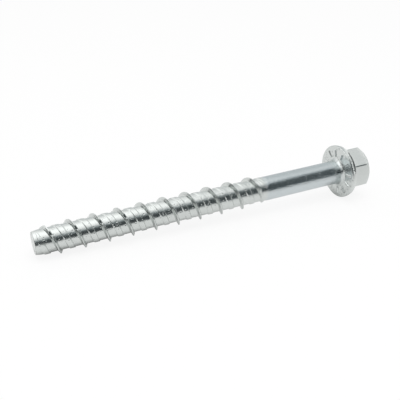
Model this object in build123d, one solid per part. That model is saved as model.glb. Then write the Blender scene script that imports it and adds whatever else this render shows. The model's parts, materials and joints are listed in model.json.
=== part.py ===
from build123d import *
import math
import os

# Concrete screw with a hex flange head, one piece of cold-forged steel with a rolled thread.
# The screw lies on a flat surface, on the rim of its flange and on the first full turn of its
# thread. +X runs along it towards the head and +Z is up. The origin is on that surface,
# below the middle of the whole screw. All sizes are in millimetres and degrees.

# Lengths along the screw's own axis, from the blunt end
length_under_head = 130.0
head_height = 11.4
thread_length = 94.5
core_to_shank_length = 2.0

# Diameters
core_diameter = 9.2
shank_diameter = 9.85
thread_diameter = 12.1
end_face_diameter = 8.5
flange_diameter = 22.4
hex_across_flats = 16.0

# Blunt end
end_taper_length = 2.2

# Cutting thread, right-handed, which fades in from the end and out towards the shank
pitch = 9.25
thread_root_width = 1.65
thread_crest_width = 0.45
resting_turn = 9.6
thread_start = 2.0
fade_in_length = 5.0
fade_out_length = 6.0

# Low guide rib, half a turn away from the cutting thread
guide_rib_height = 0.3
guide_rib_root_width = 2.4
guide_rib_top_width = 1.9
guide_rib_start = 1.5
guide_rib_past_thread = 0.5
guide_rib_fade_length = 1.5

# Notches that give the first turns their cutting teeth
notch_count = 13
notches_per_turn = 4
first_notch_angle = -137.0
notch_depth = 0.75
notch_steep_side = 0.5
notch_sloping_side = 1.8

# Flange
rim_height = 2.4
rim_chamfer = 0.5
flange_top_slope = 18.0
neck_cone = 1.1

# Locking ribs under the flange
lock_rib_count = 12
lock_rib_angle = 21.0
lock_rib_inner_diameter = 13.4
lock_rib_outer_diameter = 19.0
lock_rib_width = 0.9
lock_rib_height = 0.3

# End of the hex, turned to a cone
hex_chamfer_angle = 40.0
hex_face_share = 0.95

# How far one form reaches into the next, so that they join without a skin between them
overlap = 0.5

core_radius = core_diameter / 2
shank_radius = shank_diameter / 2
thread_radius = thread_diameter / 2
flange_radius = flange_diameter / 2
end_face_radius = end_face_diameter / 2
hex_corner_radius = hex_across_flats / math.sqrt(3)
hex_face_radius = hex_face_share * hex_across_flats / 2
full_length = length_under_head + head_height

# The ridges start on the +X side. Turned forms are turned on by a little over a quarter turn,
# so that their seams lie away from there.
off_the_ridges = Rot(0, 0, 100)


def turned(outline):
    """A closed outline of (radius, height) points, turned about the Z axis."""
    return off_the_ridges * revolve(Plane.XZ * make_face(Polyline(*outline, close=True)), Axis.Z)


def body():
    """The blunt end, core, shank, neck and flange, turned in one outline."""
    rim_top = length_under_head + rim_height
    cone_rise = (flange_radius - hex_corner_radius) * math.tan(math.radians(flange_top_slope))
    outline = [
        (0, 0),
        (end_face_radius, 0),
        (core_radius, end_taper_length),
        (core_radius, thread_length),
        (shank_radius, thread_length + core_to_shank_length),
        (shank_radius, length_under_head),
        (flange_radius, length_under_head),
        (flange_radius, rim_top),
        (hex_corner_radius, rim_top + cone_rise),
        (0, rim_top + cone_rise),
    ]
    neck_corner = outline[5]
    rim_upper_corner = outline[7]
    profile = make_face(Polyline(*outline, close=True))

    def vertex_at(point):
        return profile.vertices().sort_by_distance(point)[0]

    profile = chamfer(vertex_at(neck_corner), neck_cone)
    profile = chamfer(vertex_at(rim_upper_corner), rim_chamfer)
    return off_the_ridges * revolve(Plane.XZ * profile, Axis.Z)


def hex_drive():
    """The hexagon, with its corners cut back by the cone that its end is turned to."""
    base = length_under_head + rim_height / 2
    corner_drop = (hex_corner_radius - hex_face_radius) * math.tan(math.radians(hex_chamfer_angle))
    cone = turned([
        (0, base),
        (hex_corner_radius, base),
        (hex_corner_radius, full_length - corner_drop),
        (hex_face_radius, full_length),
        (0, full_length),
    ])
    hexagon = RegularPolygon(hex_across_flats / 2, 6, major_radius=False)
    return extrude(Pos(0, 0, base) * hexagon, full_length - base) & cone


def helical_ridge(first, last, turn_shift, height, root_width, top_width):
    """A ridge that winds round the core from first to last, with its root sunk in the core.

    It passes the +X side of the core at resting_turn, or turn_shift further along.
    """
    turns_before = math.ceil((resting_turn + turn_shift - first) / pitch)
    path_start = resting_turn + turn_shift - turns_before * pitch
    path = Pos(0, 0, path_start) * Helix(pitch, last - path_start, core_radius)
    flank = (root_width - top_width) / 2
    sunk_half_width = root_width / 2 + flank * overlap / height
    section = Polygon(
        (core_radius - overlap, path_start - sunk_half_width),
        (core_radius + height, path_start - top_width / 2),
        (core_radius + height, path_start + top_width / 2),
        (core_radius - overlap, path_start + sunk_half_width),
        align=None,
    )
    return sweep(Plane.XZ * section, path, is_frenet=True)


def fading(first, full_from, full_to, last, height, end_radius):
    """The space that a ridge may fill: it narrows to nothing at both of the ridge's ends."""
    above_ridge = core_radius + height + overlap
    start_rise = (full_from - first) * (height + overlap) / height
    end_fall = (last - full_to) * (height + overlap) / height
    return turned([
        (0, first - overlap),
        (core_radius - overlap / 2, first - overlap),
        (core_radius, first),
        (above_ridge, first + start_rise),
        (above_ridge, last - end_fall),
        (end_radius, last),
        (end_radius - overlap / 2, last + overlap),
        (0, last + overlap),
    ])


def cutting_thread():
    height = thread_radius - core_radius
    ridge = helical_ridge(thread_start, thread_length, 0, height, thread_root_width, thread_crest_width)
    room = fading(
        thread_start,
        thread_start + fade_in_length,
        thread_length - fade_out_length,
        thread_length,
        height,
        core_radius,
    )
    return ridge & room


def guide_rib():
    finish = thread_length + guide_rib_past_thread
    ridge = helical_ridge(
        guide_rib_start,
        finish,
        pitch / 2,
        guide_rib_height,
        guide_rib_root_width,
        guide_rib_top_width,
    )
    room = fading(
        guide_rib_start,
        guide_rib_start + guide_rib_fade_length,
        finish - guide_rib_fade_length,
        finish,
        guide_rib_height,
        core_radius,
    )
    return ridge & room


def notch_cutters():
    """Three-sided bars across the thread's crest, each turned to its place on the helix.

    The steep side is the cutting face of the next tooth, and the other side slopes down to it.
    """
    floor_radius = thread_radius - notch_depth
    top_radius = thread_radius + overlap
    reach = top_radius - floor_radius
    section = Polygon(
        (floor_radius, 0),
        (top_radius, notch_steep_side * reach / notch_depth),
        (top_radius, -notch_sloping_side * reach / notch_depth),
        align=None,
    )
    bar = extrude(section, thread_root_width, both=True)
    cutters = Part()
    for count in range(notch_count):
        angle = first_notch_angle + count * 360 / notches_per_turn
        height = resting_turn + pitch * angle / 360
        cutters += Pos(0, 0, height) * Rot(0, 0, angle) * bar
    return cutters


def locking_ribs():
    """Saw-toothed ribs that stand out of the flange's lower face, all round the neck."""
    inner_radius = lock_rib_inner_diameter / 2
    outer_radius = lock_rib_outer_diameter / 2
    section = Polygon(
        (-lock_rib_width / 2, overlap),
        (-lock_rib_width / 2, -lock_rib_height),
        (lock_rib_width / 2, 0),
        (lock_rib_width / 2, overlap),
        align=None,
    )
    seat = Plane(origin=(inner_radius, 0, length_under_head), x_dir=(0, 1, 0), z_dir=(1, 0, 0))
    rib = extrude(seat * section, outer_radius - inner_radius)
    ribs = Part()
    for count in range(lock_rib_count):
        ribs += Rot(0, 0, lock_rib_angle + count * 360 / lock_rib_count) * rib
    return ribs


def laid_down(upright):
    """The screw laid on the rim of its flange and on the thread's crest at resting_turn."""
    crest_edge = resting_turn - thread_crest_width / 2
    rise = math.atan((flange_radius - thread_radius) / (length_under_head - crest_edge))
    lift = thread_radius * math.cos(rise) - crest_edge * math.sin(rise)
    end_of_blunt_end = -end_face_radius * math.sin(rise)
    end_of_head = full_length * math.cos(rise) + hex_face_radius * math.sin(rise)
    middle = (end_of_blunt_end + end_of_head) / 2
    return Pos(-middle, 0, lift) * Rot(0, 90 - math.degrees(rise), 0) * upright


screw = body() + guide_rib() + cutting_thread() + hex_drive() + locking_ribs() - notch_cutters()
concrete_screw = laid_down(screw)
print("solids", len(concrete_screw.solids()), "volume", concrete_screw.volume, concrete_screw.is_valid)
print(concrete_screw.bounding_box())
os.makedirs("parts", exist_ok=True)
export_step(concrete_screw, "parts/concrete_screw.step")
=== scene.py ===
# %% [markdown]
# # A zinc-plated concrete screw, lying on a studio table
#
# The real screw is one piece of steel. Its head is forged cold, its coarse thread is rolled, and
# the whole is electroplated with zinc. It cuts its own thread in a drilled hole in concrete.
# The lesson builds that one piece as a single closed surface that is worked out with numpy, gives
# it a plated finish, and lights it as a studio would.

# %% Load the solid model
import json
import math

import bpy
import numpy as np
from mathutils import Matrix, Vector


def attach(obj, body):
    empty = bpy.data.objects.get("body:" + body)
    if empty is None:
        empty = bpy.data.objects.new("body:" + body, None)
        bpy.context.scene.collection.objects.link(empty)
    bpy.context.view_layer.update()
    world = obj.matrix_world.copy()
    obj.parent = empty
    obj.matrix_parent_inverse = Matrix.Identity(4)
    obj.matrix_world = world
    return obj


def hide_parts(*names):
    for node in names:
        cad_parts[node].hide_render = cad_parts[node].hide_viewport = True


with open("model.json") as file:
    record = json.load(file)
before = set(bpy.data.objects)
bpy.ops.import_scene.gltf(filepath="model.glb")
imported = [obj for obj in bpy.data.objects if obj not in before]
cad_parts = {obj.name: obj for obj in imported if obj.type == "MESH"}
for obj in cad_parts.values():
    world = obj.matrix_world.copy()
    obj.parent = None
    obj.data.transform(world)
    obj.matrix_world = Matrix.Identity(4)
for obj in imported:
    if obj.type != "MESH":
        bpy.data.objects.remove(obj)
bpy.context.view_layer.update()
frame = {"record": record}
MM = 0.001

# %% [markdown]
# ## Where the screw lies
#
# The solid model already lies on its flange's rim and on one turn of its thread, so its axis rises
# a little towards the head. Nothing is fitted by eye: the record gives the middle of the blunt
# end and the middle of the hexagon's end, and the two points give the axis. Every shape below is
# worked out in the screw's own measures, which are the height along the axis from the blunt end,
# the radius, and the turn about the axis. One function lays it down.

# %% The screw's own axes
mounts = {mount["name"]: mount for mount in frame["record"]["mounts"]}
tip_centre = np.array(mounts["anchor_shank"]["pos_m"])
hex_centre = np.array(mounts["hex_drive"]["pos_m"])
FULL_LENGTH = np.linalg.norm(hex_centre - tip_centre) / MM
along = (hex_centre - tip_centre) / np.linalg.norm(hex_centre - tip_centre)
sideways = np.array([0.0, 1.0, 0.0])
downwards = np.cross(sideways, along)
RISE = math.asin(along[2])
print("length %.2f mm, axis rises %.2f degrees" % (FULL_LENGTH, math.degrees(RISE)))


def laid_down(height, radius, turn):
    """The point at a height along the axis, a radius and a turn, in metres.

    Point = blunt end's middle + height x axis + radius x (cos turn x down + sin turn x sideways).
    """
    across = np.cos(turn)[..., None] * downwards + np.sin(turn)[..., None] * sideways
    return tip_centre + MM * (height[..., None] * along + radius[..., None] * across)


# %% [markdown]
# ## Sizes
#
# The main sizes are the solid model's own, in millimetres. The smaller ones stand where they are
# first needed, and some of them follow the photograph more closely than the solid model does. The
# thread is a little narrower and fades in sooner, and its first turns are lower. Its notches are a
# tenth of a millimetre deeper, and the locking ribs as much higher. The core widens to the shank a
# little earlier, and the flange's rim tapers. The roundings are those of a forged, rolled and
# plated surface, and the solid model leaves most of them out.

# %% Main sizes in millimetres
LENGTH_UNDER_HEAD = 130.0
THREAD_LENGTH = 94.5
PITCH = 9.25
RESTING_TURN = 9.6
CORE_RADIUS = 4.6
SHANK_RADIUS = 4.925
THREAD_RADIUS = 6.05
END_FACE_RADIUS = 4.25
FLANGE_RADIUS = 11.2
HEX_ACROSS_FLATS = 16.0
HEX_CORNER_RADIUS = HEX_ACROSS_FLATS / math.sqrt(3)
print("head %.1f mm high, thread %.2f mm above the core, hexagon's sharp corners at %.2f mm"
      % (FULL_LENGTH - LENGTH_UNDER_HEAD, THREAD_RADIUS - CORE_RADIUS, HEX_CORNER_RADIUS))

# %% [markdown]
# ## The rolled thread
#
# The coarse thread cuts its way into the wall of the drilled hole. Notches turn its first turns
# into teeth, and a low rib half a turn away guides the screw. A thread could be made by sweeping a
# section along a helix, but its ends and its notches would then need Boolean cuts. Here the whole
# threaded part is one height field over a cylinder: at each point the distance to the nearest turn
# of the helix is known, and that distance gives the radius. Smooth minimum and smooth maximum join
# the forms with small roundings, as rolling leaves them.


# %% Smooth joining of two forms
def smooth_min(first, second, width):
    """The smaller of two values, with the corner between them rounded over a width.

    It is a mix of the two whose share goes from 0 to 1 while they differ by less than the width,
    less width x share x (1 - share).
    """
    share = np.clip(0.5 + 0.5 * (second - first) / width, 0.0, 1.0)
    return second + (first - second) * share - width * share * (1.0 - share)


def smooth_max(first, second, width):
    """The larger of two values, rounded in the same way."""
    return -smooth_min(-first, -second, width)


print("where two values are equal, a width of 0.2 takes off %.2f" % -smooth_min(0.0, 0.0, 0.2))


# %% Radius without the thread
END_TAPER = 2.2
END_TAPER_ROUNDING = 0.12
STEP_START = 91.6
STEP_LENGTH = 3.2
STEP_ROUNDING = 0.05


def body_radius(height):
    """Radius of the screw without its thread.

    The blunt end's taper is end radius + (core radius - end radius) x height / taper's length, cut
    off at the core. The short cone up to the plain shank climbs in the same way. The larger of the
    two is the radius.
    """
    taper = END_FACE_RADIUS + (CORE_RADIUS - END_FACE_RADIUS) * height / END_TAPER
    taper = smooth_min(taper, CORE_RADIUS, END_TAPER_ROUNDING)
    climbed = (height - STEP_START) / STEP_LENGTH
    cone = CORE_RADIUS + (SHANK_RADIUS - CORE_RADIUS) * climbed
    return smooth_max(taper, smooth_min(cone, SHANK_RADIUS, STEP_ROUNDING), STEP_ROUNDING)


print("radius between the turns of the thread: %.2f mm" % body_radius(THREAD_LENGTH / 2))


# %% Distance to a helix
def nearest_turn(height, turn, shift):
    """Distance along the axis to the nearest turn of a helix, and the angle wound up to there.

    The helix has the height RESTING_TURN + shift + PITCH x wound angle / full turn.
    """
    turns = (height - RESTING_TURN - shift) / PITCH - turn / (2 * math.pi)
    whole = np.round(turns)
    return PITCH * (turns - whole), turn + 2 * math.pi * whole


lead = math.atan(PITCH / (2 * math.pi * CORE_RADIUS))
print("on the core, the helix climbs at %.1f degrees" % math.degrees(lead))

# %% Section and fading ends of a ridge
MEETING_ROUNDING = 0.2


def ridge(distance, height_of_ridge, root_width, top_width, rounding):
    """Section across a ridge, as a height over the core: a trapezoid with rounded edges.

    Height x (half the root's width - distance) / flank's width, cut off at the height.
    """
    flank = (root_width - top_width) / 2
    slope = height_of_ridge * (root_width / 2 - np.abs(distance)) / flank
    return smooth_min(slope, height_of_ridge, rounding)


def room(height, first, full_from, full_to, last, full):
    """Height that a ridge may have: it grows from nothing at first and shrinks to nothing at last.

    The smaller of full x (height - first) / (full_from - first) and the same from the other end.
    """
    growing = full * (height - first) / (full_from - first)
    shrinking = full * (last - height) / (last - full_to)
    return smooth_min(growing, shrinking, MEETING_ROUNDING)


# %% Waviness of the crest
FIRST_TURNS_LOWER = 0.2
LOWER_TURNS = 6.0
CREST_WAVE = 0.02
# Size, speed and start of each wave along the crest
WAVES = [(1.0, 1.7, 0.4), (0.7, 4.3, 2.0), (0.5, 9.1, 0.0)]


def crest_height(wound):
    """Height of the crest over the core: rolling never fills the die quite evenly.

    The first turns stay a little lower. Three waves, size x sin(speed x wound angle + start), add
    up to a few hundredths of a millimetre more or less, and repeat only after ten turns.
    """
    waves = sum(size * np.sin(speed * wound + start) for size, speed, start in WAVES)
    turns = np.clip(wound / (2 * math.pi), 0.0, LOWER_TURNS)
    level = THREAD_RADIUS - CORE_RADIUS - FIRST_TURNS_LOWER * (1 - turns / LOWER_TURNS)
    return level + CREST_WAVE * waves


print("crest: %.2f mm above the core where it starts" % crest_height(0.0))


# %% Notches
NOTCH_COUNT = 13
NOTCH_SPACING = math.radians(90)
FIRST_NOTCH = math.radians(-137)
NOTCH_DEPTH = 0.85
# How far each side of a notch reaches while it rises by the notch's depth
NOTCH_STEEP_SIDE = 0.5
NOTCH_SLOPING_SIDE = 1.8
# Limits for the straight sides: an angle in radians, and the divisor below
NOTCH_REACH = 1.0
LEAST_DIVISOR = 0.5


def notch_limit(wound):
    """Largest radius that the notches leave, at an angle wound along the thread.

    A notch has a floor line at one angle, NOTCH_DEPTH below the crest there. From it a steep side
    rises forwards and a sloping side backwards. For a ray at an angle from the floor line, the
    radius of a straight side is floor radius / (cos angle - side's rise x |sin angle|). More than
    NOTCH_REACH radians away, or where that divisor is small, nothing is cut.
    """
    number = np.clip(np.round((wound - FIRST_NOTCH) / NOTCH_SPACING), 0, NOTCH_COUNT - 1)
    angle = wound - FIRST_NOTCH - number * NOTCH_SPACING
    rise = NOTCH_DEPTH / np.where(angle > 0, NOTCH_STEEP_SIDE, NOTCH_SLOPING_SIDE)
    divisor = np.cos(angle) - rise * np.abs(np.sin(angle))
    floor = CORE_RADIUS + crest_height(wound) - NOTCH_DEPTH
    near = (divisor > LEAST_DIVISOR) & (np.abs(angle) < NOTCH_REACH)
    return np.where(near, floor / np.maximum(divisor, LEAST_DIVISOR), np.inf)


print("first notch: %.1f mm above the blunt end" % (RESTING_TURN + PITCH * FIRST_NOTCH / (2 * math.pi)))


# %% Cutting thread
THREAD_ROOT_WIDTH = 1.5
THREAD_CREST_WIDTH = 0.35
CREST_ROUNDING = 0.22
# The crest lies this much nearer to the head than the resting turn of the solid model
CREST_SHIFT = 0.08
THREAD_START = 2.0
FADE_IN = 3.8
FADE_OUT = 6.0
FADE_ROUNDING = 0.15


def cutting_thread(height, turn):
    """Radius of the cutting thread, which fades in and out and has notches in its first turns.

    Core radius + the smaller of the thread's section and its room, cut off where a notch is.
    """
    distance, wound = nearest_turn(height, turn, CREST_SHIFT)
    crest = crest_height(wound)
    thread = ridge(distance, crest, THREAD_ROOT_WIDTH, THREAD_CREST_WIDTH, CREST_ROUNDING)
    full_from, full_to = THREAD_START + FADE_IN, THREAD_LENGTH - FADE_OUT
    limit = room(height, THREAD_START, full_from, full_to, THREAD_LENGTH, crest)
    thread = smooth_min(thread, limit, FADE_ROUNDING)
    return np.minimum(CORE_RADIUS + thread, notch_limit(wound))


print("cutting thread: radius %.2f mm" % cutting_thread(RESTING_TURN + CREST_SHIFT, 0.0))


# %% Guide rib
RIB_HEIGHT = 0.3
RIB_ROOT_WIDTH = 2.4
RIB_TOP_WIDTH = 1.9
RIB_ROUNDING = 0.08
RIB_START = 1.5
RIB_END = THREAD_LENGTH + 0.5
RIB_FADE = 1.5


def guide_rib(height, turn):
    """Height over the core of the low flat rib, half a turn away from the cutting thread.

    The smaller of the rib's section and its room.
    """
    distance, _ = nearest_turn(height, turn, PITCH / 2)
    rib = ridge(distance, RIB_HEIGHT, RIB_ROOT_WIDTH, RIB_TOP_WIDTH, RIB_ROUNDING)
    full_from, full_to = RIB_START + RIB_FADE, RIB_END - RIB_FADE
    limit = room(height, RIB_START, full_from, full_to, RIB_END, RIB_HEIGHT)
    return smooth_min(rib, limit, RIB_ROUNDING)


print("guide rib: %.2f mm above the core" % guide_rib(RESTING_TURN + PITCH / 2, 0.0))


# %% Where the thread runs out
RUN_OUT_MIDDLE = 92.4
RUN_OUT_REACH = 2.6
RUN_OUT_SIDE = math.radians(195)
RUN_OUT_SPACING = 1.0
RUN_OUT_LIFT = 0.02
RUN_OUT_HEIGHT = 0.12


def run_out_lines(height, turn):
    """Fine lines that the die scrapes where the thread runs out into the shank, on one side.

    A cosine across the helix, under a window of height and one of turn: 1 - distance from the
    middle / reach, and 2 x cos(angle from the side) - 0.8, both held from 0 to 1.
    """
    across, _ = nearest_turn(height, turn, 0.0)
    lines = 0.5 + 0.5 * np.cos(2 * math.pi * across / RUN_OUT_SPACING)
    along_window = np.clip(1 - np.abs(height - RUN_OUT_MIDDLE) / RUN_OUT_REACH, 0.0, 1.0)
    round_window = np.clip(2 * np.cos(turn - RUN_OUT_SIDE) - 0.8, 0.0, 1.0)
    return (RUN_OUT_LIFT + RUN_OUT_HEIGHT * lines) * np.sqrt(along_window) * round_window


print("run-out lines: up to %.2f mm high" % (RUN_OUT_LIFT + RUN_OUT_HEIGHT))


# %% Radius of the threaded part
RIB_FOOT_ROUNDING = 0.06
THREAD_FOOT_ROUNDING = 0.15


def threaded_radius(height, turn):
    """Radius at a height and a turn.

    The larger of the body and the guide rib, with the run-out lines added, and of the cutting
    thread, each joined with its own rounding.
    """
    rib = CORE_RADIUS + guide_rib(height, turn)
    body = smooth_max(body_radius(height), rib, RIB_FOOT_ROUNDING) + run_out_lines(height, turn)
    return smooth_max(body, cutting_thread(height, turn), THREAD_FOOT_ROUNDING)


# %% [markdown]
# ## Rows and columns of the threaded part
#
# On a plain grid a slanting crest looks like a staircase. The cure is to make one pitch as many
# rows long as the grid has columns. Then the line from one grid point to the next point up and
# round runs exactly along the helix, and when each cell is cut in two along that line, every edge
# of the thread is clean.

# %% Grid of the threaded part
COLUMNS = 84
ROW_STEP = PITCH / COLUMNS
# The resting turn lies half-way between two rows
ROWS_BELOW_RESTING_TURN = 74.5
THREADED_END = 96.3
first_row = RESTING_TURN - ROWS_BELOW_RESTING_TURN * ROW_STEP
row_count = math.ceil((THREADED_END - first_row) / ROW_STEP)
thread_heights = first_row + ROW_STEP * np.arange(row_count)
turns = 2 * math.pi * np.arange(COLUMNS) / COLUMNS
height, turn = np.meshgrid(thread_heights, turns, indexing="ij")
thread_grid = np.stack([height, threaded_radius(height, turn), turn])
print("threaded part: %d rows of %d points, crest radius %.3f mm"
      % (row_count, COLUMNS, thread_grid[1].max()))


# %% [markdown]
# ## Turned forms
#
# The blunt end, the plain shank and the flange are round, so they could be a profile under a Screw
# modifier. Here they are outlines that are carried round the axis as arrays, so that they share
# their rings with the thread. An outline is a few corners with a rounding each. Between the corners
# it is straight, so it needs no points there.


# %% Outline with rounded corners
def rounded(corners, roundings, arc_points):
    """Points along an outline of (height, radius) corners, with an arc in place of each inner one.

    An arc starts and ends rounding x tan(half the corner's turn) from the corner, and its points
    lie at its radius from its centre.
    """
    corners = np.array(corners, float)
    points = [corners[:1]]
    for before, corner, after, radius in zip(corners, corners[1:], corners[2:], roundings):
        inwards = (corner - before) / np.linalg.norm(corner - before)
        outwards = (after - corner) / np.linalg.norm(after - corner)
        angle = math.acos(np.clip(inwards @ outwards, -1.0, 1.0))
        middle = (outwards - inwards) / np.linalg.norm(outwards - inwards)
        centre = corner + middle * radius / math.cos(angle / 2)
        spread = np.linspace(-angle / 2, angle / 2, arc_points)[:, None]
        tangent = (inwards + outwards) / np.linalg.norm(inwards + outwards)
        points.append(centre + radius * (np.sin(spread) * tangent - np.cos(spread) * middle))
    points.append(corners[-1:])
    return np.concatenate(points)


def carried_round(outline, columns):
    """An outline of (height, radius) points at every one of the columns round the axis.

    Column number c has the turn full turn x c / columns.
    """
    turns = 2 * math.pi * np.arange(columns) / columns
    height, turn = np.meshgrid(outline[:, 0], turns, indexing="ij")
    radius = np.repeat(outline[:, 1:], columns, axis=1)
    return np.stack([height, radius, turn])


# %% Blunt end
END_EDGE_ROUNDING = 0.18
END_FACE_RINGS = [1.5, 2.8, 3.6]
ARC_POINTS = 6
end_face = [(0.0, radius) for radius in END_FACE_RINGS]
joint = first_row - ROW_STEP
end_corners = [end_face[-1], (0.0, END_FACE_RADIUS), (joint, body_radius(joint))]
end_edge = rounded(end_corners, [END_EDGE_ROUNDING], ARC_POINTS)
end_grid = carried_round(np.concatenate([end_face[:-1], end_edge]), COLUMNS)
print("blunt end: %d rings" % end_grid.shape[1])

# %% Plain shank
NECK_ROUNDING = 1.6
GAP_BELOW_NECK = 0.4
SHANK_RINGS = 13
neck_start = LENGTH_UNDER_HEAD - NECK_ROUNDING
shank_heights = np.linspace(thread_heights[-1], neck_start - GAP_BELOW_NECK, SHANK_RINGS + 1)[1:]
shank_outline = np.stack([shank_heights, np.full_like(shank_heights, SHANK_RADIUS)], axis=1)
shank_grid = carried_round(shank_outline, COLUMNS)
print("plain shank: %d rings, up to a height of %.1f mm" % (SHANK_RINGS, shank_heights[-1]))

# %% [markdown]
# ## The flange and its locking ribs
#
# The flange is upset in a die. Its rim is straight at the foot, then tapers a little and is
# bevelled, with rounded edges, and its top slopes up to the hexagon. Low saw-toothed ribs stand out
# of its lower face and bite into what the screw clamps. They could be cut or added as pieces, but
# they are so low that a height over the lower face is enough, on a grid four times as fine.

# %% Sizes of the flange
RIM_HEIGHT = 2.4
RIM_STRAIGHT = 0.75
RIM_TAPER_END = 1.35
RIM_TAPER = 0.08
RIM_BEVEL = 0.42
FLANGE_TOP_SLOPE = math.radians(18)
FINE_COLUMNS = 4 * COLUMNS
rim_top = LENGTH_UNDER_HEAD + RIM_HEIGHT
cone_top = rim_top + (FLANGE_RADIUS - HEX_CORNER_RADIUS) * math.tan(FLANGE_TOP_SLOPE)
print("flange: top of its rim at %.2f mm, top of its cone at %.2f mm" % (rim_top, cone_top))

# %% Locking ribs
LOCK_RIB_COUNT = 12
LOCK_RIB_TURN = math.radians(21)
LOCK_RIB_INNER_RADIUS = 6.7
LOCK_RIB_OUTER_RADIUS = 9.5
LOCK_RIB_WIDTH = 0.9
LOCK_RIB_HEIGHT = 0.4
LOCK_RIB_EDGE = 0.2


def lock_rib_height(radius, turn):
    """Height of the locking ribs over the flange's lower face.

    Across a rib the height falls in a straight line from its steep side to nothing. The steep side
    and the two ends rise within LOCK_RIB_EDGE.
    """
    spacing = 2 * math.pi / LOCK_RIB_COUNT
    angle = (turn - LOCK_RIB_TURN + spacing / 2) % spacing - spacing / 2
    across = radius * np.sin(angle) / LOCK_RIB_WIDTH
    outwards = radius * np.cos(angle)
    saw = LOCK_RIB_HEIGHT * np.clip(0.5 - across, 0.0, 1.0)
    steep = np.clip((across + 0.5) * LOCK_RIB_WIDTH / LOCK_RIB_EDGE + 1.0, 0.0, 1.0)
    inner = np.clip((outwards - LOCK_RIB_INNER_RADIUS) / LOCK_RIB_EDGE + 1.0, 0.0, 1.0)
    outer = np.clip((LOCK_RIB_OUTER_RADIUS - outwards) / LOCK_RIB_EDGE + 1.0, 0.0, 1.0)
    return saw * steep * inner * outer


print("locking ribs: %.1f mm apart at their outer ends"
      % (2 * math.pi * LOCK_RIB_OUTER_RADIUS / LOCK_RIB_COUNT))


# %% Outline of the neck and of the flange's lower face
# The outline of the neck starts this far below its rounding
NECK_LEAD = 0.2
NECK_ARC_POINTS = 8
# Rings of the lower face, closer together where the locking ribs begin and end
FACE_RINGS = [6.56, 6.6, 6.66, 6.7, 6.75, 7.3, 8.0, 8.7, 9.3, 9.45, 9.5, 9.56, 9.62, 10.2, 10.7]
face = [(LENGTH_UNDER_HEAD, radius) for radius in FACE_RINGS]
neck_corners = [(neck_start - NECK_LEAD, SHANK_RADIUS), (LENGTH_UNDER_HEAD, SHANK_RADIUS), face[0]]
neck_outline = rounded(neck_corners, [NECK_ROUNDING], NECK_ARC_POINTS)
print("neck: rounding of %.1f mm, from a height of %.1f mm" % (NECK_ROUNDING, neck_start))

# %% Outline of the rim, from the lower face to the foot of the hexagon
RIM_ROUNDINGS = [0.3, 0.5, 0.5, 0.3]
# The outline ends this far below the top of the cone
CONE_GAP = 0.15
rim_corners = [
    face[-1],
    (LENGTH_UNDER_HEAD, FLANGE_RADIUS),
    (LENGTH_UNDER_HEAD + RIM_STRAIGHT, FLANGE_RADIUS),
    (LENGTH_UNDER_HEAD + RIM_TAPER_END, FLANGE_RADIUS - RIM_TAPER),
    (rim_top, FLANGE_RADIUS - RIM_BEVEL),
    (cone_top - CONE_GAP, HEX_CORNER_RADIUS + CONE_GAP / math.tan(FLANGE_TOP_SLOPE)),
]
rim_outline = rounded(rim_corners, RIM_ROUNDINGS, ARC_POINTS)
print("rim: %d points, largest radius %.2f mm" % (len(rim_outline), rim_outline[:, 1].max()))

# %% Grid of the flange
SAME_HEIGHT = 0.001
flange_outline = np.concatenate([neck_outline, face[1:-1], rim_outline])
flange_grid = carried_round(flange_outline, FINE_COLUMNS)
on_face = np.abs(flange_grid[0] - LENGTH_UNDER_HEAD) < SAME_HEIGHT
flange_grid[0] -= np.where(on_face, lock_rib_height(flange_grid[1], flange_grid[2]), 0.0)
print("flange: %d rings of %d points" % (flange_grid.shape[1], FINE_COLUMNS))


# %% [markdown]
# ## The hexagon
#
# A wrench or a socket turns the screw by its hexagon. It could be a six-sided cylinder with a Bevel
# modifier, but that would be a piece of its own. Here it is a radius that depends on the turn:
# straight faces with a small arc at each corner. The columns are drawn together near the corners,
# where the surface turns fast. A small fillet joins it to the flange, and its end is cut back by a
# cone, which leaves the curved edges that every wrench hexagon has.

# %% Hexagon's outline
HEX_CORNER_ROUNDING = 0.7


def hexagon_radius(turn):
    """Radius of the hexagon at a turn, with its first corner at a turn of nothing.

    On a face: half the width across flats / cos(angle from the face's middle). At a corner: where
    a ray meets the corner's arc, distance x cos angle + root(rounding squared - (distance x sin
    angle) squared).
    """
    sixth = math.pi / 3
    from_corner = np.abs((turn + sixth / 2) % sixth - sixth / 2)
    half_width = HEX_ACROSS_FLATS / 2
    face = half_width / np.cos(sixth / 2 - from_corner)
    distance = (half_width - HEX_CORNER_ROUNDING) / math.cos(sixth / 2)
    across = distance * np.sin(from_corner)
    arc = distance * np.cos(from_corner) + np.sqrt(np.maximum(HEX_CORNER_ROUNDING**2 - across**2, 0.0))
    arc_ends_at = (half_width - HEX_CORNER_ROUNDING) * math.tan(sixth / 2)
    along_face = half_width * np.tan(sixth / 2 - from_corner)
    return np.where(along_face > arc_ends_at, arc, face)


def drawn_together(turn, share):
    """Columns moved towards the hexagon's corners: turn - share x sin(6 turn) / 6."""
    return turn - share * np.sin(6 * turn) / 6


print("hexagon: radius %.2f mm at a corner, %.2f mm in the middle of a face"
      % (hexagon_radius(0.0), hexagon_radius(math.pi / 6)))


# %% Flange's top round the hexagon
FLANGE_TOP_ROUNDING = 0.05


def flange_top(radius):
    """Height of the flange's top, which is level inside the hexagon's corners.

    Outside them it is the cone's top - (radius - hexagon's corner radius) x tan(slope).
    """
    slope = cone_top - (radius - HEX_CORNER_RADIUS) * math.tan(FLANGE_TOP_SLOPE)
    return smooth_min(slope, cone_top, FLANGE_TOP_ROUNDING)


# %% Foot of the hexagon
HEX_FOOT_FILLET = 0.35
FILLET_ROWS = 5
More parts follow.
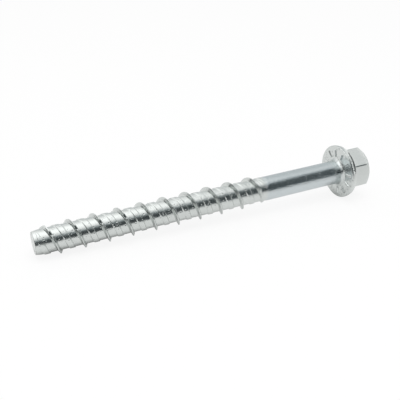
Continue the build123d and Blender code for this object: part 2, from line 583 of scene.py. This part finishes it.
# How strongly the columns are drawn together, on the hexagon and half-way to the flange's outline
DRAWN_ON_HEXAGON = 0.75
DRAWN_HALF_WAY = 0.4
even_turns = 2 * math.pi * np.arange(FINE_COLUMNS) / FINE_COLUMNS
hex_turns = drawn_together(even_turns, DRAWN_ON_HEXAGON)
hex_radius = hexagon_radius(hex_turns)
foot_radius = hex_radius + HEX_FOOT_FILLET
half_way = (foot_radius + flange_grid[1, -1]) / 2
half_turns = drawn_together(even_turns, DRAWN_HALF_WAY)
hex_rows = [(flange_top(half_way), half_way, half_turns)]
for angle in np.linspace(0, math.pi / 2, FILLET_ROWS):
    lift = HEX_FOOT_FILLET * (1 - math.cos(angle))
    reach = HEX_FOOT_FILLET * (1 - math.sin(angle))
    hex_rows.append((flange_top(foot_radius) + lift, hex_radius + reach, hex_turns))
print("hexagon: its foot is between %.2f and %.2f mm from the axis"
      % (foot_radius.min(), foot_radius.max()))

# %% Faces of the hexagon
HEX_FACE_SHARE = 0.95
HEX_FACE_RADIUS = HEX_FACE_SHARE * HEX_ACROSS_FLATS / 2
HEX_CHAMFER = math.radians(40)
HEX_EDGE_ROUNDING = 0.2
FACE_ROWS = (0.35, 0.7)
edge_height = FULL_LENGTH - (hex_radius - HEX_FACE_RADIUS) * math.tan(HEX_CHAMFER)
face_start = flange_top(foot_radius) + HEX_FOOT_FILLET
for share in FACE_ROWS:
    hex_rows.append((face_start + share * (edge_height - face_start), hex_radius, hex_turns))
# Two rows round off the edge to the cone
hex_rows.append((edge_height - HEX_EDGE_ROUNDING, hex_radius, hex_turns))
corner_radius = hex_radius - 0.2 * HEX_EDGE_ROUNDING
hex_rows.append((edge_height - 0.3 * HEX_EDGE_ROUNDING, corner_radius, hex_turns))
print("hexagon: edge of its end between %.2f and %.2f mm" % (edge_height.min(), edge_height.max()))

# %% End of the hexagon
CONE_ROWS = (0.0, 0.5, 0.9)
END_RINGS = (HEX_FACE_RADIUS - 0.15, 5.0, 2.5)
for share in CONE_ROWS:
    inwards = (1 - share) * (hex_radius - HEX_EDGE_ROUNDING) + share * HEX_FACE_RADIUS
    on_cone = FULL_LENGTH - (inwards - HEX_FACE_RADIUS) * math.tan(HEX_CHAMFER)
    hex_rows.append((on_cone, inwards, hex_turns))
for radius in END_RINGS:
    level = np.full_like(hex_turns, FULL_LENGTH)
    hex_rows.append((level, np.full_like(hex_turns, radius), hex_turns))
hex_grid = np.stack([np.stack(row) for row in hex_rows], axis=1)
print("hexagon: %d rings" % hex_grid.shape[1])

# %% [markdown]
# ## One closed surface
#
# A forged and rolled screw has no seams, so its surface has none either. The coarse grid (blunt
# end, thread, shank) and the fine grid (flange, hexagon) are joined by one ring of triangles, four
# fine columns to each coarse one. A single point closes each end. All the cells become triangles
# by index arithmetic alone.


# %% Triangles of a grid
def grid_triangles(rows, columns, start):
    """Two triangles for each cell of a grid that closes on itself, cut from corner to corner.

    Point (row, column) has the number start + row x columns + column.
    """
    row, column = np.meshgrid(np.arange(rows - 1), np.arange(columns), indexing="ij")
    row, column = row.ravel(), column.ravel()
    beside = (column + 1) % columns
    here, right = start + row * columns + column, start + row * columns + beside
    above, across = here + columns, right + columns
    lower = np.stack([here, right, across], axis=1)
    upper = np.stack([here, across, above], axis=1)
    return np.concatenate([lower, upper])


# %% Triangles that close an end or join two grids
def fan(ring_start, columns, point, outwards):
    """Triangles from one point to every edge of a ring: the point, a column and the next one."""
    column = np.arange(columns)
    first, second = ring_start + column, ring_start + (column + 1) % columns
    middle = np.full(columns, point)
    order = [middle, first, second] if outwards else [middle, second, first]
    return np.stack(order, axis=1)


def one_to_four(coarse_start, coarse_columns, fine_start):
    """Triangles between a ring and a ring of four times as many points.

    Coarse column c faces the fine columns 4 x c to 4 x c + 4. Two triangles stand on it, one on its
    edge to the next column, and two on that column.
    """
    column = np.arange(coarse_columns)
    coarse, coarse_next = coarse_start + column, coarse_start + (column + 1) % coarse_columns
    fine = [fine_start + (4 * column + step) % (4 * coarse_columns) for step in range(5)]
    triangles = [(coarse, fine[1], fine[0]), (coarse, fine[2], fine[1])]
    triangles += [(coarse, coarse_next, fine[2])]
    triangles += [(coarse_next, fine[3], fine[2]), (coarse_next, fine[4], fine[3])]
    return np.concatenate([np.stack(triangle, axis=1) for triangle in triangles])


# %% Points and triangles of the screw
coarse_grid = np.concatenate([end_grid, thread_grid, shank_grid], axis=1)
fine_grid = np.concatenate([flange_grid, hex_grid], axis=1)
coarse_rows, fine_rows = coarse_grid.shape[1], fine_grid.shape[1]
fine_start = coarse_rows * COLUMNS
tip_point = fine_start + fine_rows * FINE_COLUMNS
hex_point = tip_point + 1
points = np.concatenate([
    laid_down(*coarse_grid).reshape(-1, 3),
    laid_down(*fine_grid).reshape(-1, 3),
    [tip_centre, hex_centre],
])
triangles = np.concatenate([
    fan(0, COLUMNS, tip_point, False),
    grid_triangles(coarse_rows, COLUMNS, 0),
    one_to_four(fine_start - COLUMNS, COLUMNS, fine_start),
    grid_triangles(fine_rows, FINE_COLUMNS, fine_start),
    fan(tip_point - FINE_COLUMNS, FINE_COLUMNS, hex_point, True),
])
print("screw: %d points, %d triangles" % (len(points), len(triangles)))


# %% Put the arrays into a mesh
def mesh_object(name, points, triangles):
    """A smooth-shaded mesh object made of triangles, at the origin."""
    mesh = bpy.data.meshes.new(name)
    mesh.vertices.add(len(points))
    mesh.vertices.foreach_set("co", points.astype(np.float32).ravel())
    mesh.loops.add(triangles.size)
    mesh.loops.foreach_set("vertex_index", triangles.astype(np.int32).ravel())
    mesh.polygons.add(len(triangles))
    mesh.polygons.foreach_set("loop_start", np.arange(0, triangles.size, 3, dtype=np.int32))
    mesh.update(calc_edges=True)
    mesh.validate()
    mesh.shade_smooth()
    made = bpy.data.objects.new(name, mesh)
    bpy.context.scene.collection.objects.link(made)
    return made


# %% The screw
SHARP_FROM = math.radians(38)
screw = mesh_object("screw", points, triangles)
screw.data.set_sharp_from_angle(angle=SHARP_FROM)
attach(screw, "root")
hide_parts("concrete_screw")
print("screw's size in mm", np.round(np.ptp(points, axis=0) / MM, 2))

# %% [markdown]
# ## Rolling marks
#
# The dies that roll the thread leave fine lines on the core, and the lines follow the helix. They
# could be painted on an unwrapped surface. Here every point of the mesh keeps coordinates of its
# own, in which a noise pattern is drawn out along the helix. Two of them go once round a circle for
# each pitch across the helix, so that the pattern closes on itself all round the screw. The third
# is the height.

# %% Coordinates for the rolling marks
# Width of a mark across the helix, and its length along the axis
MARK_WIDTH = 0.35
MARK_RISE = 2.2
height = np.concatenate([coarse_grid[0].ravel(), fine_grid[0].ravel(), [0.0, FULL_LENGTH]])
turn = np.concatenate([coarse_grid[2].ravel(), fine_grid[2].ravel(), [0.0, 0.0]])
across = 2 * math.pi * height / PITCH - turn
circle = PITCH / (2 * math.pi) / MARK_WIDTH
marks = np.stack([circle * np.cos(across), circle * np.sin(across), height / MARK_RISE], axis=1)
place_of_marks = screw.data.attributes.new("rolling_marks", "FLOAT_VECTOR", "POINT")
place_of_marks.data.foreach_set("vector", marks.astype(np.float32).ravel())
print("rolling marks: %.2f mm wide, %.1f mm along the axis" % (MARK_WIDTH, MARK_RISE))

# %% [markdown]
# ## Where each finish lies
#
# The parts of the screw are made in different ways, and each way leaves its own surface: the core
# is rolled, the plain shank is drawn, the end face is sheared off, and the head is forged. They
# could be separate materials, but then they would meet in hard lines. Here each point keeps its
# share of each finish, and the shares fade into one another.

# %% Shares of the finishes
FADE_LENGTH = 2.0
HEAD_FADE_LENGTH = 0.5
SHEARED_FADE_LENGTH = 0.1
NECK_MIDDLE = LENGTH_UNDER_HEAD - 1.5
# How much shallower the dents are on the shank and on the head, and how much deeper at the neck
SHALLOWER_ON_SHANK, SHALLOWER_ON_HEAD, DEEPER_AT_NECK = 0.5, 0.5, 1.5
rolled_share = np.clip((THREAD_LENGTH - height) / FADE_LENGTH, 0.0, 1.0)
drawn_share = (1 - rolled_share) * np.clip((LENGTH_UNDER_HEAD - height) / FADE_LENGTH, 0.0, 1.0)
sheared_share = np.clip(1.5 - height / SHEARED_FADE_LENGTH, 0.0, 1.0)
forged_share = np.clip((height - LENGTH_UNDER_HEAD) / HEAD_FADE_LENGTH, 0.0, 1.0)
neck_share = np.clip(1.6 - np.abs(height - NECK_MIDDLE) / FADE_LENGTH, 0.0, 1.0)
dented_share = 1 - SHALLOWER_ON_SHANK * drawn_share - SHALLOWER_ON_HEAD * forged_share
shares = {
    "rolled_share": rolled_share,
    "drawn_share": drawn_share,
    "sheared_share": sheared_share,
    "dented_share": dented_share + DEEPER_AT_NECK * neck_share,
}
for name, share in shares.items():
    kept = screw.data.attributes.new(name, "FLOAT", "POINT")
    kept.data.foreach_set("value", share.astype(np.float32))
    print("%s: %.2f on average" % (name, share.mean()))

# %% [markdown]
# ## Zinc plate
#
# Bright electroplated zinc is a metal: all its colour is in its reflections. It is a neutral
# silver, a shade darker than a mirror and slightly greenish from its clear passivation. Forging
# and rolling leave the steel below it a little uneven, which the thin plating follows. So the
# reflections waver at their edges, and small dents catch the light or the dark. The drawn shank
# is smoother and looks a little cooler.
#
# Six patterns do this, each with its real size: slow waves, the fine grain of the plating, the
# rolling marks along the thread, drawing marks along the plain shank, the torn grain of the sheared
# end, and small dents that screws get from each other in the plating barrel. The dents are deepest
# at the neck, which the forging die leaves rough. They could be modelled, but they are too small
# for the mesh, so each one tilts the surface's normal over the one before.


# %% Colours
def linear(hex_colour):
    """A colour written as sRGB hex, as linear red, green, blue and alpha.

    Each part is (value / 255), then value / 12.92 below 0.04045, else ((value + 0.055) / 1.055)
    to the power of 2.4.
    """
    value = np.array([int(hex_colour[i:i + 2], 16) for i in (1, 3, 5)]) / 255
    value = np.where(value <= 0.04045, value / 12.92, ((value + 0.055) / 1.055) ** 2.4)
    return (*value.tolist(), 1.0)


print("zinc in linear colour", [round(part, 2) for part in linear("#CFD3D1")])


# %% Nodes
def add_node(tree, kind, settings=None, inputs=None):
    """A node of a kind, with its settings, and with each input a value or another node's socket."""
    made = tree.nodes.new(kind)
    for name, value in (settings or {}).items():
        setattr(made, name, value)
    for name, value in (inputs or {}).items():
        if isinstance(value, bpy.types.NodeSocket):
            tree.links.new(value, made.inputs[name])
        else:
            made.inputs[name].default_value = value
    return made


def new_material(name):
    """An empty node material and its output node."""
    material = bpy.data.materials.new(name)
    material.use_nodes = True
    material.node_tree.nodes.clear()
    return material, add_node(material.node_tree, "ShaderNodeOutputMaterial")


# %% Sizes of the patterns in the plated surface
# The waves bend the edges of the reflections
WAVE_LENGTH = 1.6 * MM
WAVE_HEIGHT = 0.06 * MM
# The real grain of the plating is a tenth of this. It is too fine to show, so it is drawn coarser.
GRAIN_SIZE = 0.35 * MM
GRAIN_HEIGHT = 0.008 * MM
# Rolling and drawing leave streaks, and a drawing mark is eight times as long as wide
MARK_HEIGHT = 0.05 * MM
DRAWING_MARK_WIDTH = 0.5 * MM
DRAWING_MARK_HEIGHT = 0.05 * MM
DRAWN_OUT = (0.12, 1, 1)
# The sheared end is torn in upright streaks, four times as long as wide
TEAR_WIDTH = 0.8 * MM
TEAR_HEIGHT = 0.3 * MM
TORN_OUT = (1, 1, 0.25)
# The dents are light and dark specks. Their floor and rim are shares of the spacing.
DENT_SPACING = 1.3 * MM
DENT_DEPTH = 0.06 * MM
DENT_FLOOR, DENT_RIM = 0.1, 0.28
# The plating is a little duller in patches, from the pattern's low value to its high one
PATCH_SIZE = 3.0 * MM
PATCH_LOW, PATCH_HIGH = 0.35, 0.7
BRIGHT_ROUGHNESS, DULL_ROUGHNESS = 0.20, 0.27
print("dents: %.1f mm wide, up to %.2f mm deep" % (2 * DENT_RIM * DENT_SPACING / MM, DENT_DEPTH / MM))


# %% Patterns in the plated surface
def surface_patterns(tree, in_line, share_of):
    """Each pattern with its real height and with the share of the finish that it belongs to."""
    drawn_out = add_node(tree, "ShaderNodeMapping", {}, {
        "Vector": in_line, "Scale": DRAWN_OUT}).outputs["Vector"]
    torn_out = add_node(tree, "ShaderNodeMapping", {}, {
        "Vector": in_line, "Scale": TORN_OUT}).outputs["Vector"]
    along_helix = add_node(tree, "ShaderNodeAttribute", {
        "attribute_name": "rolling_marks"}).outputs["Vector"]
    # Each row: place, spots to a unit of that place, detail, roughness, height, share
    noises = [
        (in_line, 1 / WAVE_LENGTH, 2.0, 0.5, WAVE_HEIGHT, None),
        (in_line, 1 / GRAIN_SIZE, 2.0, 0.6, GRAIN_HEIGHT, None),
        (along_helix, 1.0, 2.0, 0.6, MARK_HEIGHT, share_of["rolled_share"]),
        (drawn_out, 1 / DRAWING_MARK_WIDTH, 2.0, 0.6, DRAWING_MARK_HEIGHT, share_of["drawn_share"]),
        (torn_out, 1 / TEAR_WIDTH, 3.0, 0.6, TEAR_HEIGHT, share_of["sheared_share"]),
    ]
    layers = []
    for place, scale, detail, roughness, depth, share in noises:
        noise = add_node(tree, "ShaderNodeTexNoise", {}, {
            "Vector": place, "Scale": scale, "Detail": detail, "Roughness": roughness})
        layers.append((noise.outputs["Fac"], depth, share))
    cells = add_node(tree, "ShaderNodeTexVoronoi", {"feature": "F1"}, {
        "Vector": in_line, "Scale": 1 / DENT_SPACING})
    dents = add_node(tree, "ShaderNodeMapRange", {"interpolation_type": "SMOOTHSTEP"}, {
        "Value": cells.outputs["Distance"], "From Min": DENT_FLOOR, "From Max": DENT_RIM})
    return layers + [(dents.outputs["Result"], DENT_DEPTH, share_of["dented_share"])]


# %% Zinc-plated cold-forged steel
def zinc_plated_steel():
    """Material of the whole screw.

    The plating is bright but not polished, which gives the eye a soft mirror: wide light and dark
    bands that run along the screw, with edges that waver, and a duller patch here and there.
    """
    material, output = new_material("zinc-plated cold-forged steel")
    tree = material.node_tree
    place = add_node(tree, "ShaderNodeTexCoord").outputs["Object"]
    in_line = add_node(tree, "ShaderNodeMapping", {}, {
        "Vector": place, "Rotation": (0, RISE, 0)}).outputs["Vector"]
    share_of = {}
    for name in shares:
        share_of[name] = add_node(tree, "ShaderNodeAttribute", {"attribute_name": name}).outputs["Fac"]

    # Each pattern tilts the normal that the one before has left
    normal = {}
    for pattern, depth, share in surface_patterns(tree, in_line, share_of):
        if share:
            pattern = add_node(tree, "ShaderNodeMath", {"operation": "MULTIPLY"}, {
                0: pattern, 1: share}).outputs[0]
        bump = add_node(tree, "ShaderNodeBump", {}, {
            "Strength": 1.0, "Distance": depth, "Height": pattern, **normal})
        normal = {"Normal": bump.outputs["Normal"]}

    patches = add_node(tree, "ShaderNodeTexNoise", {}, {
        "Vector": in_line, "Scale": 1 / PATCH_SIZE, "Detail": 3.0, "Roughness": 0.6})
    dulling = add_node(tree, "ShaderNodeMapRange", {}, {
        "Value": patches.outputs["Fac"], "From Min": PATCH_LOW, "From Max": PATCH_HIGH,
        "To Min": BRIGHT_ROUGHNESS, "To Max": DULL_ROUGHNESS})
    tint = add_node(tree, "ShaderNodeMix", {"data_type": "RGBA"}, {
        0: share_of["drawn_share"], 6: linear("#CFD3D1"), 7: linear("#C7CED0")})
    plated = add_node(tree, "ShaderNodeBsdfPrincipled", {}, {
        "Base Color": tint.outputs[2], "Metallic": 1.0,
        "Roughness": dulling.outputs["Result"], **normal})
    tree.links.new(plated.outputs["BSDF"], output.inputs["Surface"])
    return material


screw.data.materials.append(zinc_plated_steel())
print("zinc-plated steel: %d nodes" % len(screw.data.materials[0].node_tree.nodes))


# %% [markdown]
# ## The table
#
# The screw lies on a plain white table, which the picture shows as white paper with a soft shadow.
# A lit white table alone would come out grey, and more light would wash the screw out. So most of
# what the camera sees of the table is plain white, and the rest is the lit table, which carries the
# shadow. The underside of the screw mirrors the table, and in reflections the white carries a
# painted contact shadow where the screw comes close to it, and painted shade towards the front and
# the right, where the studio is dark.


# %% What the camera and the reflections see
def seen_directly(tree, camera_share=1.0, mirror_share=1.0):
    """One share for rays from the camera, another for reflected ones, and nothing for soft light."""
    rays = add_node(tree, "ShaderNodeLightPath").outputs
    reflected = add_node(tree, "ShaderNodeMath", {"operation": "MAXIMUM"}, {
        0: rays["Is Glossy Ray"], 1: rays["Is Transmission Ray"]})
    mirrored = add_node(tree, "ShaderNodeMath", {"operation": "MULTIPLY"}, {
        0: reflected.outputs[0], 1: mirror_share})
    direct = add_node(tree, "ShaderNodeMath", {"operation": "MULTIPLY"}, {
        0: rays["Is Camera Ray"], 1: camera_share})
    either = add_node(tree, "ShaderNodeMath", {"operation": "MAXIMUM"}, {
        0: direct.outputs[0], 1: mirrored.outputs[0]})
    return either.outputs[0]


# %% Matt white table, with painted shade in reflections
# The painted contact shadow darkens the white in reflections within this distance of a thing
PAINTED_CONTACT_SHADOW_REACH = 5 * MM
# The painted shade grows from the clear place to the dark one, forwards and to the right
PAINTED_FRONT_SHADE = 0.5
DARK_FRONT, CLEAR_FRONT = -70 * MM, -15 * MM
CLEAR_LEFT, DARK_RIGHT = -20 * MM, 60 * MM
PLAIN_WHITE_SEEN = 0.85
PLAIN_WHITE_MIRRORED = 0.6


def table_material():
    """Matt white paper, which gives the eye a clean ground with a soft shadow.

    Of the plain white, reflections see what a painted contact shadow leaves, from ambient occlusion
    near the table, less painted shade towards the front times the share of the way to the right.
    """
    material, output = new_material("matt white table with painted shade")
    tree = material.node_tree
    lit = add_node(tree, "ShaderNodeBsdfDiffuse", {}, {"Color": linear("#FFFFFF")})
    # Painted contact shadow: ambient occlusion darkens the white that reflections see near the screw
    painted_contact_shadow = add_node(tree, "ShaderNodeAmbientOcclusion", {"samples": 8}, {"Distance": PAINTED_CONTACT_SHADOW_REACH})
    place = add_node(tree, "ShaderNodeTexCoord").outputs["Object"]
    place = add_node(tree, "ShaderNodeSeparateXYZ", {}, {"Vector": place}).outputs
    # Painted shade: the white that reflections see darkens towards the front and the right
    forwards = add_node(tree, "ShaderNodeMapRange", {}, {
        "Value": place["Y"], "From Min": DARK_FRONT, "From Max": CLEAR_FRONT,
        "To Min": PAINTED_FRONT_SHADE, "To Max": 0.0})
    to_the_right = add_node(tree, "ShaderNodeMapRange", {}, {
        "Value": place["X"], "From Min": CLEAR_LEFT, "From Max": DARK_RIGHT})
    painted_shade_ahead = add_node(tree, "ShaderNodeMath", {"operation": "MULTIPLY"}, {
        0: forwards.outputs["Result"], 1: to_the_right.outputs["Result"]})
    # White that reflections see, after the painted contact shadow and the painted shade
    kept = add_node(tree, "ShaderNodeMath", {"operation": "SUBTRACT"}, {
        0: painted_contact_shadow.outputs["AO"], 1: painted_shade_ahead.outputs[0]})
    rays = add_node(tree, "ShaderNodeLightPath").outputs
    strength = add_node(tree, "ShaderNodeMath", {"operation": "MAXIMUM"}, {
        0: rays["Is Camera Ray"], 1: kept.outputs[0]})
    white = add_node(tree, "ShaderNodeEmission", {}, {
        "Color": linear("#FFFFFF"), "Strength": strength.outputs[0]})
    mixed = add_node(tree, "ShaderNodeMixShader", {}, {
        "Fac": seen_directly(tree, PLAIN_WHITE_SEEN, PLAIN_WHITE_MIRRORED),
        1: lit.outputs["BSDF"], 2: white.outputs["Emission"]})
    tree.links.new(mixed.outputs["Shader"], output.inputs["Surface"])
    return material


# %% Sheets
def sheet(name, corner_grid):
    """A sheet through a grid of points, with two triangles to a cell.

    Point (row, column) has the number row x columns + column.
    """
    rows, columns = corner_grid.shape[:2]
    row, column = np.meshgrid(np.arange(rows - 1), np.arange(columns - 1), indexing="ij")
    here = (row * columns + column).ravel()
    lower = np.stack([here, here + 1, here + columns + 1], axis=1)
    upper = np.stack([here, here + columns + 1, here + columns], axis=1)
    return mesh_object(name, corner_grid.reshape(-1, 3), np.concatenate([lower, upper]))


def flat_sheet(name, corner, first_side, second_side):
    """A flat four-cornered sheet, from one corner and its two sides."""
    corner, first_side, second_side = np.array([corner, first_side, second_side], float)
    beside = corner + first_side
    return sheet(name, np.array([[corner, beside], [corner + second_side, beside + second_side]]))


# %% The table
TABLE_SIZE = 3.0
table_corner = (-TABLE_SIZE / 2, -TABLE_SIZE / 2, 0)
table = flat_sheet("table", table_corner, (TABLE_SIZE, 0, 0), (0, TABLE_SIZE, 0))
table.data.materials.append(table_material())
print("table: %.1f m square" % TABLE_SIZE)

# %% [markdown]
# ## The light tent
#
# A plated screw shows its surroundings more than itself, so the studio is part of its look. It is
# a light tent: white cloth bent over the table, brightest overhead and darker towards its open
# front, where the camera looks in. That dark front draws the dark band along the screw. Lamps
# outside a real tent light its cloth, which could be modelled too, but cloth that glows by itself
# gives the same reflections with less noise. The tent shows in reflections alone, so it hides
# nothing and casts no shadow.


# %% Studio pieces that only reflections see
def only_in_reflections(piece):
    """Hide a studio piece from the camera and from soft light, and let it cast no shadow."""
    piece.visible_camera = False
    piece.visible_diffuse = False
    piece.visible_shadow = False


# %% Brightness of the cloth
# Angles from the front edge over the top to the back edge, and the brightness there
FRONT_TO_BACK = np.radians([0, 10, 28, 48, 66, 80, 100, 130, 165, 180])
BRIGHTNESS = np.array([0.10, 0.07, 0.07, 0.75, 1.3, 1.6, 1.6, 1.0, 0.72, 0.7])
FULLY_SHIFTED_FROM = math.radians(30)
FOOT_HEIGHT = math.radians(11)
BEHIND_FROM = math.radians(100)
BEHIND_FULL_AFTER = math.radians(30)
FAR_RIGHT = 0.58
FAR_RIGHT_FRONT = 1.5
# Places from left to right in metres, and what changes with them: how much higher the dark front
# reaches, and the greatest brightness, that of the cloth's foot, the least, and the back's share
LEFT_TO_RIGHT = np.array([-0.15, 0.0, 0.1, 0.17, 0.24, 0.35, 0.5, 0.6])
FRONT_REACHES_HIGHER = np.radians([3, 3, 10, 18, 30, 33, 33, 33])
BRIGHTEST = np.array([1.6, 1.6, 1.6, 1.1, 0.84, 0.97, 1.0, 1.0])
FOOT = np.array([0.1, 0.1, 0.1, 0.15, 0.25, 0.45, 0.3, 0.1])
DARKEST = np.array([0.07, 0.07, 0.07, 0.07, 0.09, 0.13, 0.14, 0.14])
BACK = np.array([1.4, 1.0, 1.0, 0.95, 0.9, 0.8, 0.8, 0.8])


def tent_brightness(angle, place):
    """Brightness of the cloth at an angle from the front and a place from left to right, in m.

    The brightness of a row of angles is joined by straight lines. To the right, the dark front
    reaches higher, the cloth's foot catches more light from the table, and the light overhead and
    behind falls off. From FAR_RIGHT on, the cloth is bright all round.
    """
    shift = np.interp(place, LEFT_TO_RIGHT, FRONT_REACHES_HIGHER)
    shift = shift * np.clip(angle / FULLY_SHIFTED_FROM, 0, 1)
    front = np.interp(angle - shift, FRONT_TO_BACK, BRIGHTNESS)
    front = np.maximum(front, np.interp(place, LEFT_TO_RIGHT, DARKEST))
    front = np.maximum(front, np.interp(place, LEFT_TO_RIGHT, FOOT) * np.exp(-angle / FOOT_HEIGHT))
    far_right = place > FAR_RIGHT
    front = np.maximum(front, np.where(far_right, FAR_RIGHT_FRONT, 0.0))
    behind = np.clip((angle - BEHIND_FROM) / BEHIND_FULL_AFTER, 0.0, 1.0)
    falling_off = 1 + (np.interp(place, LEFT_TO_RIGHT, BACK) - 1) * behind
    limit = np.where(far_right, FAR_RIGHT_FRONT, np.interp(place, LEFT_TO_RIGHT, BRIGHTEST))
    return np.minimum(front, limit) * falling_off


# %% Lit white cloth
def tent_material():
    """White cloth that glows as its mesh says, in place of outside lamps, and is cooler where it is
    dark.
    """
    material, output = new_material("lit white cloth")
    tree = material.node_tree
    glow = add_node(tree, "ShaderNodeAttribute", {"attribute_name": "glow"})
    colour = add_node(tree, "ShaderNodeMix", {"data_type": "RGBA"}, {
        0: glow.outputs["Fac"], 6: linear("#DDF0F6"), 7: linear("#FFFFFF")})
    cloth = add_node(tree, "ShaderNodeEmission", {}, {
        "Color": colour.outputs[2], "Strength": glow.outputs["Fac"]})
    tree.links.new(cloth.outputs["Emission"], output.inputs["Surface"])
    return material


# %% The tent
TENT_RADIUS = 0.5
TENT_LEFT = -0.45
TENT_RIGHT = 0.9
ANGLES = 91
PLACES = 28
angle, place = np.meshgrid(
    np.linspace(0, math.pi, ANGLES), np.linspace(TENT_LEFT, TENT_RIGHT, PLACES), indexing="ij")
tent_points = np.stack([place, -TENT_RADIUS * np.cos(angle), TENT_RADIUS * np.sin(angle)], axis=-1)
tent = sheet("light_tent", tent_points)
glow = tent.data.attributes.new("glow", "FLOAT", "POINT")
brightness = tent_brightness(angle, place)
glow.data.foreach_set("value", brightness.astype(np.float32).ravel())
tent.data.materials.append(tent_material())
only_in_reflections(tent)
print("tent: brightness from %.2f to %.2f" % (brightness.min(), brightness.max()))

# %% [markdown]
# ## Dark cards
#
# Photographers put dark cards beside a shiny thing to draw its edges. The left card darkens the
# flanks of the thread. The right one stands beyond the last strip of bright cloth, and the two draw
# the fine dark and light lines on the flange's rim. The cloth's mesh could be dark there instead,
# but its cells are too wide for such sharp edges.

# %% Dark cards at both ends
LEFT_CARD_CORNER = (TENT_LEFT + 0.01, -0.45, 0)
LEFT_CARD_WIDTH, LEFT_CARD_HEIGHT = 0.69, 0.2
RIGHT_CARD_CORNER = (0.78, -0.48, 0)
RIGHT_CARD_WIDTH, RIGHT_CARD_HEIGHT = 0.96, 0.45


def card_material():
    """Dark grey card, which gives the eye the darkest lines in the plating."""
    material, output = new_material("dark grey card")
    tree = material.node_tree
    dark = add_node(tree, "ShaderNodeEmission", {}, {"Color": linear("#565A5A"), "Strength": 1.0})
    tree.links.new(dark.outputs["Emission"], output.inputs["Surface"])
    return material


dark_card = card_material()
left_card = flat_sheet(
    "left_dark_card", LEFT_CARD_CORNER, (0, LEFT_CARD_WIDTH, 0), (0, 0, LEFT_CARD_HEIGHT))
right_card = flat_sheet(
    "right_dark_card", RIGHT_CARD_CORNER, (0, RIGHT_CARD_WIDTH, 0), (0, 0, RIGHT_CARD_HEIGHT))
for card in (left_card, right_card):
    card.data.materials.append(dark_card)
    only_in_reflections(card)
    print("%s: %.2f m wide, %.2f m high" % (card.name, card.dimensions.y, card.dimensions.z))

# %% [markdown]
# ## Lamp and room
#
# One soft lamp above the screw gives it a shadow with a soft edge, as the cloth of a real tent
# does. The room beyond is plain white. It could be a backdrop of its own, but a white world needs
# no piece, and its strength is 1 where it is seen and a little less as light.

# %% Lamp
LAMP_PLACE = (-0.03, -0.1, 0.6)
LAMP_SIZE = 0.42
LAMP_POWER = 0.9
lamp_light = bpy.data.lights.new("soft_overhead_lamp", "AREA")
lamp_light.shape = "DISK"
lamp_light.size = LAMP_SIZE
lamp_light.energy = LAMP_POWER
lamp = bpy.data.objects.new("soft_overhead_lamp", lamp_light)
lamp.location = LAMP_PLACE
lamp.visible_glossy = False
bpy.context.scene.collection.objects.link(lamp)
print("lamp: %.2f m wide, %.1f W" % (LAMP_SIZE, LAMP_POWER))

# %% White room
ROOM_LIGHT = 0.8
room_world = bpy.data.worlds.new("white_room")
bpy.context.scene.world = room_world
room_world.use_nodes = True
tree = room_world.node_tree
tree.nodes.clear()
strength = add_node(tree, "ShaderNodeMapRange", {}, {
    "Value": seen_directly(tree), "To Min": ROOM_LIGHT, "To Max": 1.0})
white = add_node(tree, "ShaderNodeBackground", {}, {
    "Color": linear("#FFFFFF"), "Strength": strength.outputs["Result"]})
add_node(tree, "ShaderNodeOutputWorld", {}, {"Surface": white.outputs["Background"]})
print("room: strength 1 where it is seen, %.1f as light" % ROOM_LIGHT)

# %% [markdown]
# ## The camera
#
# The photograph's camera was found by measuring where the shank's outlines, the thread's crests,
# the flange's ellipse and the hexagon's corner lie in the picture. It looks down at about 27 degrees
# from the side of the blunt end, from a quarter of a metre away, with a field of view of 34
# degrees. A constraint could aim it, but three angles, an aim and a distance are plainer to read.

# %% Camera
CAMERA_DISTANCE = 257.5 * MM
CAMERA_ELEVATION = math.radians(26.58)
CAMERA_AZIMUTH = math.radians(25.031)
CAMERA_ROLL = math.radians(-0.879)
CAMERA_AIM = Vector((-5.174, 0.0, 10.157)) * MM
FOCAL_LENGTH = 59.155
SENSOR_WIDTH = 36.0
NEAREST_SEEN = 10 * MM

looks = Vector((
    math.sin(CAMERA_AZIMUTH) * math.cos(CAMERA_ELEVATION),
    math.cos(CAMERA_AZIMUTH) * math.cos(CAMERA_ELEVATION),
    -math.sin(CAMERA_ELEVATION),
))
level_right = looks.cross(Vector((0, 0, 1))).normalized()
level_up = level_right.cross(looks)
up = math.cos(CAMERA_ROLL) * level_up + math.sin(CAMERA_ROLL) * level_right
right = looks.cross(up)
camera_data = bpy.data.cameras.new("camera")
camera_data.sensor_width = SENSOR_WIDTH
camera_data.lens = FOCAL_LENGTH
camera_data.clip_start = NEAREST_SEEN
camera = bpy.data.objects.new("camera", camera_data)
bpy.context.scene.collection.objects.link(camera)
turned = Matrix((right, up, -looks)).transposed().to_4x4()
camera.matrix_world = Matrix.Translation(CAMERA_AIM - CAMERA_DISTANCE * looks) @ turned
bpy.context.scene.camera = camera
bpy.context.scene.view_settings.view_transform = "Standard"
print("camera at", [round(x / MM, 1) for x in camera.matrix_world.translation])
